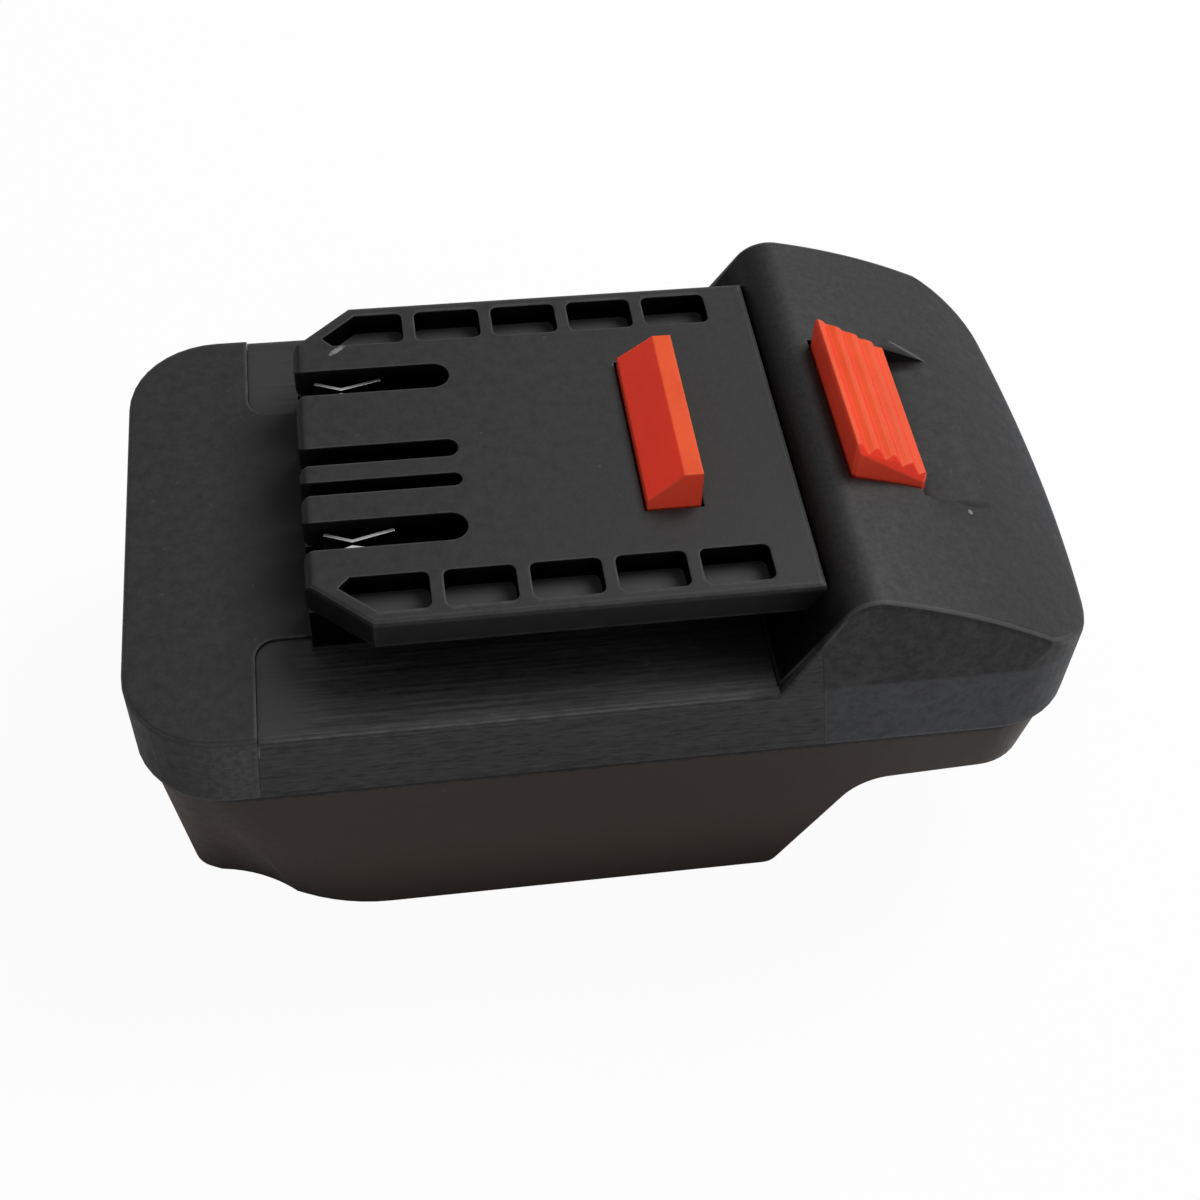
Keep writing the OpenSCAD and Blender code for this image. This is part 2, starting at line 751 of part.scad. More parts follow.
// Pockets along one edge; the first is longer and follows the corner cut
module pockets() {
  y1 = plate_w / 2 - pocket_edge;
  y0 = y1 - pocket_w;
  first_x1 = plate_x1 - pocket_end - (pocket_n - 1) * pocket_pitch;
  cut_slope = plate_cut_l / plate_cut_w;
  cut_x = plate_x0 + plate_cut_l + pocket_edge * (sqrt(1 + cut_slope * cut_slope) - cut_slope);
  tip = [1.5, 1.7];
  cut_foot_x = cut_x - (pocket_w - tip[1]) * cut_slope;
  translate([0, 0, plate_z1 - pocket_d]) linear_extrude(pocket_d + over) {
    for (i = [1:pocket_n - 1]) {
      x1 = first_x1 + i * pocket_pitch;
      polygon(concat(
        arc([x1 - pocket_r, y1 - pocket_r], pocket_r, 0, 90, 4),
        arc([x1 - pocket_l + pocket_r, y1 - pocket_r], pocket_r, 90, 180, 4),
        arc([x1 - pocket_l + pocket_r, y0 + pocket_r], pocket_r, 180, 270, 4),
        arc([x1 - pocket_r, y0 + pocket_r], pocket_r, 270, 360, 4)
      ));
    }
    polygon(concat(
      arc([first_x1 - pocket_r, y1 - pocket_r], pocket_r, 0, 90, 4),
      [[cut_x, y1], [cut_foot_x, y0 + tip[1]], [cut_foot_x + tip[0], y0]],
      arc([first_x1 - pocket_r, y0 + pocket_r], pocket_r, 270, 360, 4)
    ));
  }
}

// Latch, bridge and button: one sprung moulding
module release_latch() {
  rib_inset = 0.2;
  rib_edge = 0.4;
  rib_bow = 0.2;
  rib_flat = 0.25;
  rib_valley = 0.6;
  bridge_end = 1;
  top = crest_z + button_h;
  pitch = (button_l - 2 * rib_inset) / (rib_n - 1);
  function rib_x(i) = button_x0 + rib_inset + i * pitch;
  function rib_z(i) = let (s = i / (rib_n - 1)) top - rib_fall * ((1 - rib_bow) * s + rib_bow * s * s);
  ribs = [
    for (i = [0:rib_n - 2], k = [0:2])
      k == 0 ? [rib_x(i), rib_z(i)]
        : k == 1 ? [rib_x(i) + rib_flat * pitch, rib_z(i) - rib_edge / 2]
        : [rib_x(i) + rib_valley * pitch, (rib_z(i) + rib_z(i + 1)) / 2 - rib_d]
  ];
  last = rib_z(rib_n - 1);
  // A block under the ribs' slope, for the bevelled ends and corners
  module button_layer(inset, width, rise) {
    across(width) polygon([
      [button_x0 + inset, bridge_z0], [button_x0 + inset, top + rise],
      [button_x1 - inset, last + rise], [button_x1 - inset, bridge_z0]
    ]);
  }
  latch_top = plate_z1 + latch_h;
  latch_y = latch_w / 2;
  color("#e8492f") difference() {
    union() {
      intersection() {
        across(latch_w) polygon([
          [latch_x0, bridge_z0], [latch_x0, plate_z1 + latch_lip], [latch_x1 - latch_top_l, latch_top],
          [latch_x1, latch_top], [latch_x1, bridge_z0]
        ]);
        along(far) polygon([
          [-latch_y, bridge_z0], [latch_y, bridge_z0], [latch_y, plate_z1],
          [latch_y - latch_lean, latch_top], [latch_lean - latch_y, latch_top], [-latch_y, plate_z1]
        ]);
      }
      box(
        [latch_x0 + bridge_end, -bridge_w / 2, bridge_z0],
        [button_x1 - bridge_end, bridge_w / 2, bridge_z1]
      );
      intersection() {
        across(button_w) polygon(concat(
          [[button_x0, bridge_z0], [button_x0, top - rib_edge]], ribs,
          [[rib_x(rib_n - 1), last], [button_x1, last - rib_edge], [button_x1, bridge_z0]]
        ));
        hull() {
          button_layer(button_bevel / 2, button_w, -button_bevel);
          button_layer(0, button_w - button_bevel, -button_bevel);
          button_layer(0, button_w - 2 * button_bevel, rib_edge);
        }
      }
    }
    at_pair([button_mid, spring_y]) {
      post(bridge_z0 - over, bridge_z0 + spring_bore_d, spring_od + 2 * slide_gap);
    }
  }
}

// Return springs
coil_sides = 8;
coil_z0 = split_z + spring_wire / 2 + eps;
coil_z1 = bridge_z0 + spring_bore_d - spring_wire / 2 - eps;
coil_steps = coil_sides * spring_turns;
coil_r = (spring_od - spring_wire) / 2;
coil_path = [
  for (i = [0:coil_steps])
    let (a = 360 * i / coil_sides)
    [coil_r * cos(a), coil_r * sin(a), coil_z0 + (coil_z1 - coil_z0) * i / coil_steps]
];
coil_gap = min([for (i = [coil_sides - 2:coil_steps]) norm(coil_path[i] - coil_path[0]) - spring_wire]);
echo(spring_least_gap = coil_gap);
module latch_spring() {
  color("#b9bcc0") translate([button_mid, spring_y, 0]) tube(coil_path, spring_wire, 6);
}
module latch_spring_left() {
  latch_spring();
}
module latch_spring_right() {
  translate([0, -2 * spring_y, 0]) latch_spring();
}
// Retainer plate under the springs, with a peg in each and a pad that stops the button
module spring_retainer() {
  half_l = 7.5;
  ear = retainer_boss_d / 2;
  peg_h = 3;
  peg_d = spring_od - 2 * spring_wire - over;
  stop = [3, 2.5];
  retainer_z = split_z - retainer_t;
  color("#4a4a50") difference() {
    union() {
      box(
        [button_mid - half_l, -retainer_xy[1] - ear, retainer_z],
        [button_mid + half_l, retainer_xy[1] + ear, split_z]
      );
      box([button_mid - stop[0], -stop[1], retainer_z], [button_mid + stop[0], stop[1], stop_z]);
      at_pair([button_mid, spring_y]) post(split_z - eps, split_z + peg_h, peg_d);
    }
    at_pair(retainer_xy) post(retainer_z - over, split_z + over, small_d + 2 * fit);
  }
}

// Screws: head down, shank up, with a hexagon socket in the head
module screw(z_head, z_tip, d, head_d, head_h) {
  socket_d = 0.45 * head_d;
  socket_h = 0.6 * head_h;
  difference() {
    union() {
      post(z_head - head_h, z_head, head_d);
      post(z_head - eps, z_tip, d);
    }
    translate([0, 0, z_head - head_h - over]) cylinder(d = socket_d, h = socket_h + over, $fn = 6);
  }
}
module small_screw(z_head, z_tip) {
  color("#8c9096") screw(z_head, z_tip, small_d, small_head_d, small_head_h);
}
module retainer_screws() {
  at_pair(retainer_xy) small_screw(split_z - retainer_t, split_z + retainer_grip);
}
module plate_screws() {
  at_plate_screws() small_screw(deck_under, plate_z1 - plate_skin - rest_gap);
}
module carrier_screws() {
  at_pair(carrier_xy) small_screw(flange_z, deck_under + carrier_grip);
}
module block_screws() {
  at_pair([block_mid, block_screw_y]) small_screw(block_z0 + small_head_h, web_top + block_grip);
}
module housing_screws() {
  color("#5c6066") at_housing_screws() {
    screw(head_seat, split_z + insert_l, screw_d, screw_head_d, screw_head_h);
  }
}
module threaded_inserts() {
  color("#c9a24a") at_housing_screws() difference() {
    post(split_z, split_z + insert_l, insert_d);
    post(split_z - over, split_z + insert_l + over, screw_d + fit);
  }
}

// Tool-side spring clips and their carrier
module tool_clip() {
  z0 = slot_z + fit;
  leaf_h = plate_z1 - clip_top_d - z0;
  root_h = plate_z1 - clip_root_d - z0;
  leaf = [clip_half[1], clip_half[2], clip_half[3]];
  color("#c8ccd2") {
    translate([0, 0, z0]) {
      linear_extrude(root_h) strip(concat(flip_y(clip_half), clip_half), clip_t);
      both_sides() linear_extrude(leaf_h) strip(leaf, clip_t);
    }
    box(
      [clip_root_x - clip_t / 2, -clip_tab_w / 2, clip_tab_z],
      [clip_root_x + clip_t / 2, clip_tab_w / 2, z0 + over]
    );
  }
}
module tool_clip_positive() {
  translate([0, power_slot_y, 0]) tool_clip();
}
module tool_clip_negative() {
  translate([0, -power_slot_y, 0]) tool_clip();
}
module clip_carrier() {
  gap = 2 * fit;
  color("#26262a") difference() {
    union() {
      box([hollow_x0 + gap, -hollow_y + gap, flange_z], [hollow_x1 - gap, hollow_y - gap, plate_z0 - fit]);
      box([neck_x0, -hollow_y + gap, flange_z], [carrier_xy[0] + carrier_edge, hollow_y - gap, deck_under]);
    }
    slots();
    for (y = [-power_slot_y, power_slot_y]) {
      box(
        [clip_root_x - clip_t / 2 - fit, y - clip_tab_w / 2 - fit, flange_z - over],
        [clip_root_x + clip_t / 2 + fit, y + clip_tab_w / 2 + fit, slot_z + over]
      );
    }
    at_pair(carrier_xy) post(flange_z - over, deck_under + over, small_d + 2 * fit);
  }
}

// Leads from the battery blades to the spring clips
lead_pull = [9, 0, 0];
lead_steps = 10;
function bezier(a, b, c, d, t) =
  pow(1 - t, 3) * a + 3 * pow(1 - t, 2) * t * b + 3 * (1 - t) * t * t * c + pow(t, 3) * d;
lead_stub = [lead_d, 0, 0];
lead_a = lead_start + lead_stub;
lead_b = lead_end - lead_stub;
lead_path = concat(
  [lead_start],
  [for (i = [0:lead_steps]) bezier(lead_a, lead_a + lead_pull, lead_b - lead_pull, lead_b, i / lead_steps)],
  [lead_end]
);
module lead() {
  tube(lead_path, lead_d, 8);
}
module positive_lead() {
  color("#b5221d") lead();
}
module negative_lead() {
  color("#17171a") mirror([0, 1, 0]) lead();
}

// Battery-side blades, their block and the receptacle
module blade_profile(grow) {
  polygon([
    [blade_x0 - grow, blade_z - grow], [blade_x1 - blade_corner, blade_z - grow],
    [blade_x1, blade_z + blade_corner], [blade_x1, blade_z1 - blade_corner],
    [blade_x1 - blade_corner, blade_z1 + grow], [blade_x0 + blade_tail_w + grow, blade_z1 + grow],
    [blade_x0 + blade_tail_w + grow, blade_tail_z], [blade_x0 - grow, blade_tail_z]
  ]);
}
module battery_blade(side) {
  color("#c9b06a") translate([0, side * blade_y, 0]) across(blade_t) blade_profile(0);
}
module battery_blade_positive() {
  battery_blade(1);
}
module battery_blade_negative() {
  battery_blade(-1);
}
module blade_block() {
  color("#222226") difference() {
    box([block_x0, -block_w / 2, block_z0], [block_x1, block_w / 2, web_z]);
    at_pair([0, blade_y]) across(blade_t + 2 * fit) blade_profile(fit);
    at_pair([block_mid, block_screw_y]) {
      post(block_z0 - over, block_z0 + small_head_h, small_head_d + 2 * fit);
      post(block_z0, web_z + over, small_d + 2 * fit);
    }
  }
}
module guide_rail(grow) {
  end_room = 0.5;
  lead_in = 3;
  x1 = mouth_x + end_room + grow;
  x0 = x1 - guide_l - 2 * grow;
  y0 = cave_y - guide_reach;
  y1 = cave_y + guide_seat + grow;
  translate([0, 0, guide_z - grow]) linear_extrude(guide_t + 2 * grow) polygon([
    [x0, y0 + lead_in], [x0 + lead_in, y0], [x1 - lead_in, y0], [x1, y0 + lead_in], [x1, y1], [x0, y1]
  ]);
}
module battery_rail_left() {
  color("#9a9ea4") guide_rail(0);
}
module battery_rail_right() {
  color("#9a9ea4") mirror([0, 1, 0]) guide_rail(0);
}

// Outline of the lower shell at the base: the nose is set back and its corners are cut
module foot_plan() {
  cut_a = atan(nose_cut_w / nose_cut_l);
  side_turn = nose_side_r * tan(cut_a / 2);
  nose_turn = nose_foot_r * tan((90 - cut_a) / 2);
  side = concat(
    [[tail_x - skirt_tuck, foot_w]],
    arc([foot_nose_x + nose_cut_l + side_turn, foot_w - nose_side_r], nose_side_r, 90, 90 + cut_a, 6),
    arc([foot_nose_x + nose_foot_r, foot_w - nose_cut_w - nose_turn], nose_foot_r, 90 + cut_a, 180, 6)
  );
  polygon(concat(side, flip_y(side)));
}
// Dish in a corner cut, deepest at the base and running out below the rim
module nose_dish() {
  cut = unit([nose_cut_l, nose_cut_w]);
  out = left_of(cut);
  deep = [foot_nose_x, foot_w - nose_cut_w] + nose_dish_l * cut - nose_dish_d * out;
  rim = [nose_x + nose_r, shell_w / 2 - nose_r] + (nose_r - rim_inset + rest_gap) * out;
  lean = rim - deep;
  low = deep + nose_dish_r * norm([1, lean * out / split_z]) * out;
  translate([low[0], low[1], 0]) rotate([0, atan2(norm(lean), split_z), atan2(lean[1], lean[0])]) {
    post(-nose_dish_r, split_z + nose_dish_r, 2 * nose_dish_r);
  }
}
// Outer form of the lower shell, lofted from the base to the rim
module lower_form() {
  difference() {
    hull() {
      linear_extrude(eps) foot_plan();
      prism(split_z - eps, split_z, rim_inset);
    }
    both_sides() nose_dish();
  }
}
// Side walls end in a slope that curves into the skirt
module mouth_cut() {
  tangent = mouth_r * tan(mouth_a / 2);
  corner_x = mouth_x + web_z / tan(mouth_a);
  foot_x = mouth_x - mouth_foot_r * tan(mouth_a / 2);
  skirt_z = web_z + skirt_rise;
  across(far) polygon(concat(
    [[foot_x, -over]],
    arc([foot_x, mouth_foot_r], mouth_foot_r, 270, 270 + mouth_a, 4),
    reversed(arc([corner_x + tangent, web_z - mouth_r], mouth_r, 90, 90 + mouth_a, 8)),
    [[tail_x, skirt_z], [tail_x + over, skirt_z], [tail_x + over, -over]]
  ));
}
// Room for the battery under the roof, narrowing to the blade block at the nose
module cave() {
  block_side = block_w / 2 + rest_gap;
  side = [[far, cave_y], [cave_corner_x, cave_y], [cave_x0, block_side]];
  translate([0, 0, -over]) linear_extrude(web_z + over) polygon(concat(side, flip_y(side)));
}
module lip() {
  lip_root = 3;
  lip_in = wall + 2 * fit;
  difference() {
    prism(split_z - lip_root, split_z + lip_h, lip_in);
    prism(split_z - lip_root - over, split_z + lip_h + over, lip_in + lip_t);
  }
}
module lower_shell() {
  catch_x = mouth_x + catch_back;
  block_boss_z = web_top + block_grip + 2 * tip_room;
  color("#2d2826") difference() {
    union() {
      difference() {
        lower_form();
        mouth_cut();
        cave();
        prism(web_top, split_z + over, rim_inset + low_wall);
      }
      lip();
      at_housing_screws() post(web_top - over, split_z, boss_d);
      at_pair([block_mid, block_screw_y]) post(web_top - over, block_boss_z, block_boss_d);
    }
    at_housing_screws() {
      post(web_z - over, head_seat, screw_head_d + 2 * fit);
      post(web_z, split_z + over, screw_d + 4 * fit);
    }
    at_pair([block_mid, block_screw_y]) {
      post(web_z - over, web_top + block_grip + tip_room, small_d + fit);
    }
    at_pair([0, blade_y]) {
      box(
        [blade_x0 - fit, -blade_t / 2 - fit, web_z - over],
        [blade_x0 + blade_tail_w + fit, blade_t / 2 + fit, web_top + over]
      );
    }
    box([catch_x, -catch_w / 2, web_z - over], [catch_x + catch_l, catch_w / 2, web_z + catch_d]);
    both_sides() guide_rail(fit);
  }
}

upper_shell();
lower_shell();
rail_plate();
rail_bed_left();
rail_bed_right();
release_latch();
latch_spring_left();
latch_spring_right();
spring_retainer();
retainer_screws();
tool_clip_positive();
tool_clip_negative();
clip_carrier();
carrier_screws();
plate_screws();
positive_lead();
negative_lead();
blade_block();
battery_blade_positive();
battery_blade_negative();
block_screws();
battery_rail_left();
battery_rail_right();
housing_screws();
threaded_inserts();
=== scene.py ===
"""Looks of the slide-on battery adapter: materials, smooth springs and leads, light and camera.

Lengths are in metres. Names that end in _X, _Y or _Z are places in millimetres, which MM turns into metres.
"""
import json
import math

import bmesh
import bpy
from mathutils import Matrix, Vector


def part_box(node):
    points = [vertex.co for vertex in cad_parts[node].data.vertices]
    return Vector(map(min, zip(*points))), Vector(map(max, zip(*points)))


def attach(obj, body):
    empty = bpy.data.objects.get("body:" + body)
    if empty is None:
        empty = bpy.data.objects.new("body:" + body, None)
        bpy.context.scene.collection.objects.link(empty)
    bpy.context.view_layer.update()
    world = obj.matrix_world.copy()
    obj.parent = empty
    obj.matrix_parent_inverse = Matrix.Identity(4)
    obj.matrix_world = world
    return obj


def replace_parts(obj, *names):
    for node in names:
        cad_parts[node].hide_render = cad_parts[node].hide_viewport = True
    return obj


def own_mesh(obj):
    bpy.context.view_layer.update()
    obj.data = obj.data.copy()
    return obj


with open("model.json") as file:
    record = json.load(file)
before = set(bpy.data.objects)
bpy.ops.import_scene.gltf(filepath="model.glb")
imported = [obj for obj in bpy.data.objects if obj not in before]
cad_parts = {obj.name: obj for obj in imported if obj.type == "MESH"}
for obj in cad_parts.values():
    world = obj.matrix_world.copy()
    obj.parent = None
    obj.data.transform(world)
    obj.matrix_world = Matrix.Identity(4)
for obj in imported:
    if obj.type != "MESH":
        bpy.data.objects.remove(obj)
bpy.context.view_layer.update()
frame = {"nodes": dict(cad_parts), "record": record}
scene = bpy.context.scene
MM = 0.001


def grey(value):
    return (value, value, value)


def tinted(color, share):
    return [min(1.0, share * c) for c in color]


# The photograph's camera in the part's frame: place in millimetres, two directions, lens, sensor and clipping
CAMERA_EYE = (-32.48, -172.65, 233.47)
CAMERA_AHEAD = (0.122455, 0.623784, -0.771945)
CAMERA_UP = (0.083341, 0.768588, 0.634292)
CAMERA_LENS = 53.49
CAMERA_SENSOR = 36.0
CAMERA_CLIP = (0.01, 20.0)

# Where a tone starts and where it ends on the upper shell: X along, Y out from the middle, Z up
DECK_Z = (43.5, 44.4)
DECK_SHADE_X = (-57.0, -43.0)
DECK_SHADE_END_X = (-41.8, -41.0)
DECK_SHADE_Y = (15.0, 27.0)
NOSE_WALL_X = (-49.6, -49.2)
NOSE_FADE_X = (-63.0, -51.0)
NECK_END_X = (14.0, 18.0)
NECK_Y = (24.0, 25.0)
HUMP_FOOT_X = (18.5, 20.5)
HUMP_FRONT_X = (17.0, 18.5)
HUMP_SHADE_X = (24.0, 31.0)
HUMP_TOP_X = (24.0, 30.0)
HUMP_SIDE_Y = (35.6, 36.2)
CREST_X = (21.0, 24.0)
CREST_LINE_X = (22.0, 26.0)
CREST_Y = (33.0, 34.0)
CREST_Z = (43.0, 45.0)
RECESS_X = (42.0, 46.0)
RECESS_FADE_X = (47.0, 59.0)
RECESS_END_X = (58.0, 62.0)
RECESS_Y = (16.0, 20.0)

# The same on the rail plate, the lower shell and the rail beds
PLATE_RIM_Y = (28.0, 28.6)
POCKET_Y = (22.0, 23.0)
POCKET_FLOOR_Z = (54.0, 55.0)
BASE_CORNER_X = (50.0, 54.0)
BASE_FADE_Z = (2.0, 30.0)
BASE_RIM_SHADOW_Z = (29.3, 29.9)
BED_PAD_X = (-46.5, -39.5)
BED_NOOK_X = (0.0, 20.0)
BED_NOOK_Y = (33.0, 37.0)
BED_EDGE_END_X = (14.0, 17.0)
BED_EDGE_Y = (35.5, 36.5)
BED_EDGE_Z = (39.0, 41.5)

# Spots in plan: X, Y and two half sizes in millimetres, raggedness, turn in degrees
SPECK_SPOT = (49.7, -16.2, 0.4, 0.5)
RECESS_SHADOW_STREAK = (50.8, -13.3, 4.6, 0.8, 0.3, -7.0)
RECESS_HIGHLIGHT_STREAK = (48.8, 16.2, 3.6, 0.4, 0.2, -24.0)
SCUFF_SPOT = (-35.6, 21.0, 2.4, 0.75, 1.0, 40.0)

# Noises: scale in one metre, detail, roughness
CLOUD = (520.0, 5.0, 0.8)
GRAIN = (1700.0, 2.0, 0.6)
RUBBING = (420.0, 3.0, 0.6)
DUST = (640.0, 1.0, 0.4)
SAND = (1250.0, 3.0, 0.7)
BLOTCHES = (430.0, 5.0, 0.8)
SPECKLE = (700.0, 4.0, 0.7)
COARSE = (1000.0, 3.0, 0.65)
RAGGED_LINE = (650.0, 3.0, 0.6)
RAGGED_RIM = (1500.0, 3.0, 0.6)
TARNISH = (190.0, 3.0, 0.6)
LATCH_FINE = (1700.0, 3.0, 0.6)
LATCH_BROAD = (160.0, 3.0, 0.55)
PAPER = (900.0, 2.0, 0.5)

# Noises drawn out into lines: scale along X, Y and Z
BED_DASHES = (420.0, 1900.0, 1900.0)
BED_LINES = (45.0, 1700.0, 1700.0)
PRINT_LINES = (900.0, 45.0, 1500.0)
LEAD_GRAIN = (120.0, 1600.0, 1600.0)

# Spans of the face normal's Z, from a leaning face to a more level one
UPRIGHT = (0.2, 0.5)
SHADED_SIDE = (0.2, 0.6)
UPWARD = (0.5, 0.9)
LEVEL = (0.6, 0.9)
BUTTON_SLOPE = (0.76, 0.84)

# Tones, dark and pale
HUMP_TONES = ((0.0165, 0.0165, 0.017), (0.0262, 0.0262, 0.027))
LENS_TONES = (grey(0.0035), (0.0235, 0.0235, 0.0245))
WALL_TONES = ((0.0195, 0.0205, 0.0235), (0.035, 0.037, 0.043))
NOSE_FRONT_SHADE_TONES = (grey(0.004), grey(0.011))
NOSE_REAR_TONES = (grey(0.018), grey(0.056))
BED_DARK_TONES = ((0.0055, 0.0055, 0.006), (0.0165, 0.0165, 0.017))
BED_PALE_TONES = ((0.029, 0.029, 0.03), (0.05, 0.05, 0.051))
LEANING_FACE_LIGHT_TONES = ((0.94, 0.038, 0.015), (1.0, 0.05, 0.02))
LEVEL_FACE_LIGHT_TONES = ((0.8, 0.08, 0.015), (0.88, 0.096, 0.019))
UPRIGHT_FACE_LIGHT_TONES = ((0.93, 0.07, 0.034), (0.98, 0.084, 0.04))
PAPER_TONES = (grey(0.86), grey(0.88))

# Single tones
DUST_TONE = (0.13, 0.13, 0.125)
SPECK_TONE = (0.3, 0.32, 0.33)
CREST_HIGHLIGHT_TONE = (0.068, 0.068, 0.069)
SCUFF_TONE = (0.2, 0.2, 0.195)
NOSE_PAINTED_SHEEN = (0.078, 0.06, 0.042)
TAIL_PAINTED_SHEEN = (0.095, 0.076, 0.052)
BASE_RIM_SHADOW_TONE = (0.0015, 0.0013, 0.0012)
BED_TOP_LIGHT_TONE = (0.037, 0.037, 0.0375)
BED_PAD_TONE = (0.036, 0.0355, 0.034)
PRINT_TONE = (0.92, 0.11, 0.03)
LATCH_EDGE_TONE = (0.95, 0.17, 0.06)

# Springs and leads, with radii of the wire
SPRING_WIRE = 0.4 * MM
SPRING_TURNS = 9.0
SPRING_CLOSED_TURNS = 1.0
SPRING_CLOSED_PITCH = 2.1 * SPRING_WIRE
SPRING_STEPS = 26
SPRING_SIDES = 10
LEAD_WIRE = 1.3 * MM
LEAD_STUB = 2.6 * MM
LEAD_PULL = 9 * MM
LEAD_STEPS = 24
LEAD_SIDES = 16

# Floor, lamps and fill: places and sizes in metres, power in watts
FLOOR_HALF = 3.0
FLOOR_DROP = 0.0001
FLOOR_GLOW = 0.95
KEY_LAMP = {"place": (0.55, 0.33, 0.9), "size": (0.6, 0.6), "power": 8.2}
FRONT_LAMP = {"place": (-0.25, -1.0, 0.22), "size": (0.8, 0.3), "power": 1.0}
LAMP_AIM = (0.0, 0.0, 0.035)
FILL_POWER = 0.34
BACKDROP_POWER = 1.0


def make_camera():
    """Camera at the photograph's viewpoint."""
    data = bpy.data.cameras.new("camera")
    data.sensor_width = CAMERA_SENSOR
    data.lens = CAMERA_LENS
    data.clip_start, data.clip_end = CAMERA_CLIP
    cam = bpy.data.objects.new("camera", data)
    scene.collection.objects.link(cam)
    ahead = Vector(CAMERA_AHEAD).normalized()
    right = ahead.cross(Vector(CAMERA_UP)).normalized()
    up = right.cross(ahead)
    turn = Matrix((right, up, -ahead)).transposed()
    cam.matrix_world = Matrix.Translation(Vector(CAMERA_EYE) * MM) @ turn.to_4x4()
    scene.camera = cam


make_camera()


class Graph:
    """One material's node tree, with short calls that add and link nodes."""

    def __init__(self, name):
        self.material = bpy.data.materials.new(name)
        self.material.use_nodes = True
        self.tree = self.material.node_tree
        self.tree.nodes.clear()
        self.out = self.add("ShaderNodeOutputMaterial")
        self.place = self.add("ShaderNodeTexCoord").outputs["Object"]

    def add(self, kind, **settings):
        made = self.tree.nodes.new(kind)
        for key, value in settings.items():
            setattr(made, key, value)
        return made

    def put(self, socket, value):
        """Link a socket to another one, or set it to a number, vector or colour."""
        if isinstance(value, bpy.types.NodeSocket):
            self.tree.links.new(value, socket)
        elif hasattr(socket.default_value, "__len__") and not isinstance(value, (int, float)):
            socket.default_value = tuple(value) + (1.0,) * (len(socket.default_value) - len(value))
        else:
            socket.default_value = value

    # Sums
    def calc(self, operation, a, b=0.0):
        made = self.add("ShaderNodeMath", operation=operation)
        self.put(made.inputs[0], a)
        self.put(made.inputs[1], b)
        return made.outputs[0]

    def plus(self, a, b):
        return self.calc("ADD", a, b)

    def times(self, *values):
        total = values[0]
        for value in values[1:]:
            total = self.calc("MULTIPLY", total, value)
        return total

    def rest(self, value):
        """What is left of one."""
        return self.calc("SUBTRACT", 1.0, value)

    # Soft steps and mixes
    def step(self, value, low, high, to_low=0.0, to_high=1.0):
        made = self.add("ShaderNodeMapRange", interpolation_type="SMOOTHSTEP")
        self.put(made.inputs["Value"], value)
        self.put(made.inputs["From Min"], low)
        self.put(made.inputs["From Max"], high)
        self.put(made.inputs["To Min"], to_low)
        self.put(made.inputs["To Max"], to_high)
        return made.outputs[0]

    def rise(self, value, span, top=1.0):
        """From zero to the top value over a span in millimetres."""
        return self.step(value, span[0] * MM, span[1] * MM, 0.0, top)

    def fall(self, value, span, top=1.0):
        """From the top value to zero over a span in millimetres."""
        return self.step(value, span[0] * MM, span[1] * MM, top, 0.0)

    def widen(self, value, spread=0.2, to_low=0.0, to_high=1.0):
        """The middle of a noise, a spread to either side, drawn out over the whole range."""
        return self.step(value, 0.5 - spread, 0.5 + spread, to_low, to_high)

    def between(self, mask, outside, inside):
        """One value outside a mask and another inside it."""
        return self.step(mask, 0.0, 1.0, outside, inside)

    def mix(self, factor, a, b, blend="MIX"):
        made = self.add("ShaderNodeMix", data_type="RGBA", blend_type=blend)
        self.put(made.inputs["Factor"], factor)
        self.put(made.inputs[6], a)
        self.put(made.inputs[7], b)
        return made.outputs[2]

    # Places and directions
    def axis(self, vector, index):
        made = self.add("ShaderNodeSeparateXYZ")
        self.put(made.inputs[0], vector)
        return made.outputs[index]

    def along(self):
        return self.axis(self.place, 0)

    def across(self):
        return self.axis(self.place, 1)

    def over(self):
        """Distance from the middle plane, to either side."""
        return self.calc("ABSOLUTE", self.across())

    def up(self):
        return self.axis(self.place, 2)

    def face(self):
        return self.add("ShaderNodeNewGeometry").outputs["True Normal"]

    def facing(self, index):
        return self.axis(self.face(), index)

    def leveled(self, span, to_low=0.0, to_high=1.0):
        """From leaning faces to level ones that look up."""
        return self.step(self.facing(2), span[0], span[1], to_low, to_high)

    # Patterns
    def noise(self, scale, detail, rough, place=None):
        made = self.add("ShaderNodeTexNoise")
        self.put(made.inputs["Vector"], self.place if place is None else place)
        self.put(made.inputs["Scale"], scale)
        self.put(made.inputs["Detail"], detail)
        self.put(made.inputs["Roughness"], rough)
        return made.outputs["Fac"]

    def lines(self, scale, detail=2.0, rough=0.5):
        """A noise drawn out by its own scale on each axis."""
        made = self.add("ShaderNodeMapping")
        self.put(made.inputs["Vector"], self.place)
        self.put(made.inputs["Scale"], scale)
        return self.noise(1.0, detail, rough, made.outputs[0])

    def spot(self, x, y, half_x, half_y, ragged=0.0, turn=0.0):
        """One inside a turned ellipse in plan, with a ragged rim."""
        c, s = math.cos(math.radians(turn)), math.sin(math.radians(turn))
        rx, ry = half_x * MM, half_y * MM
        dx = self.calc("SUBTRACT", self.along(), x * MM)
        dy = self.calc("SUBTRACT", self.across(), y * MM)
        out_x = self.plus(self.times(dx, c / rx), self.times(dy, s / rx))
        out_y = self.calc("SUBTRACT", self.times(dy, c / ry), self.times(dx, s / ry))
        out = self.plus(self.times(out_x, out_x), self.times(out_y, out_y))
        if ragged:
            out = self.plus(out, self.times(self.noise(*RAGGED_RIM), ragged))
        return self.step(out, 0.6, 1.0, 1.0, 0.0)

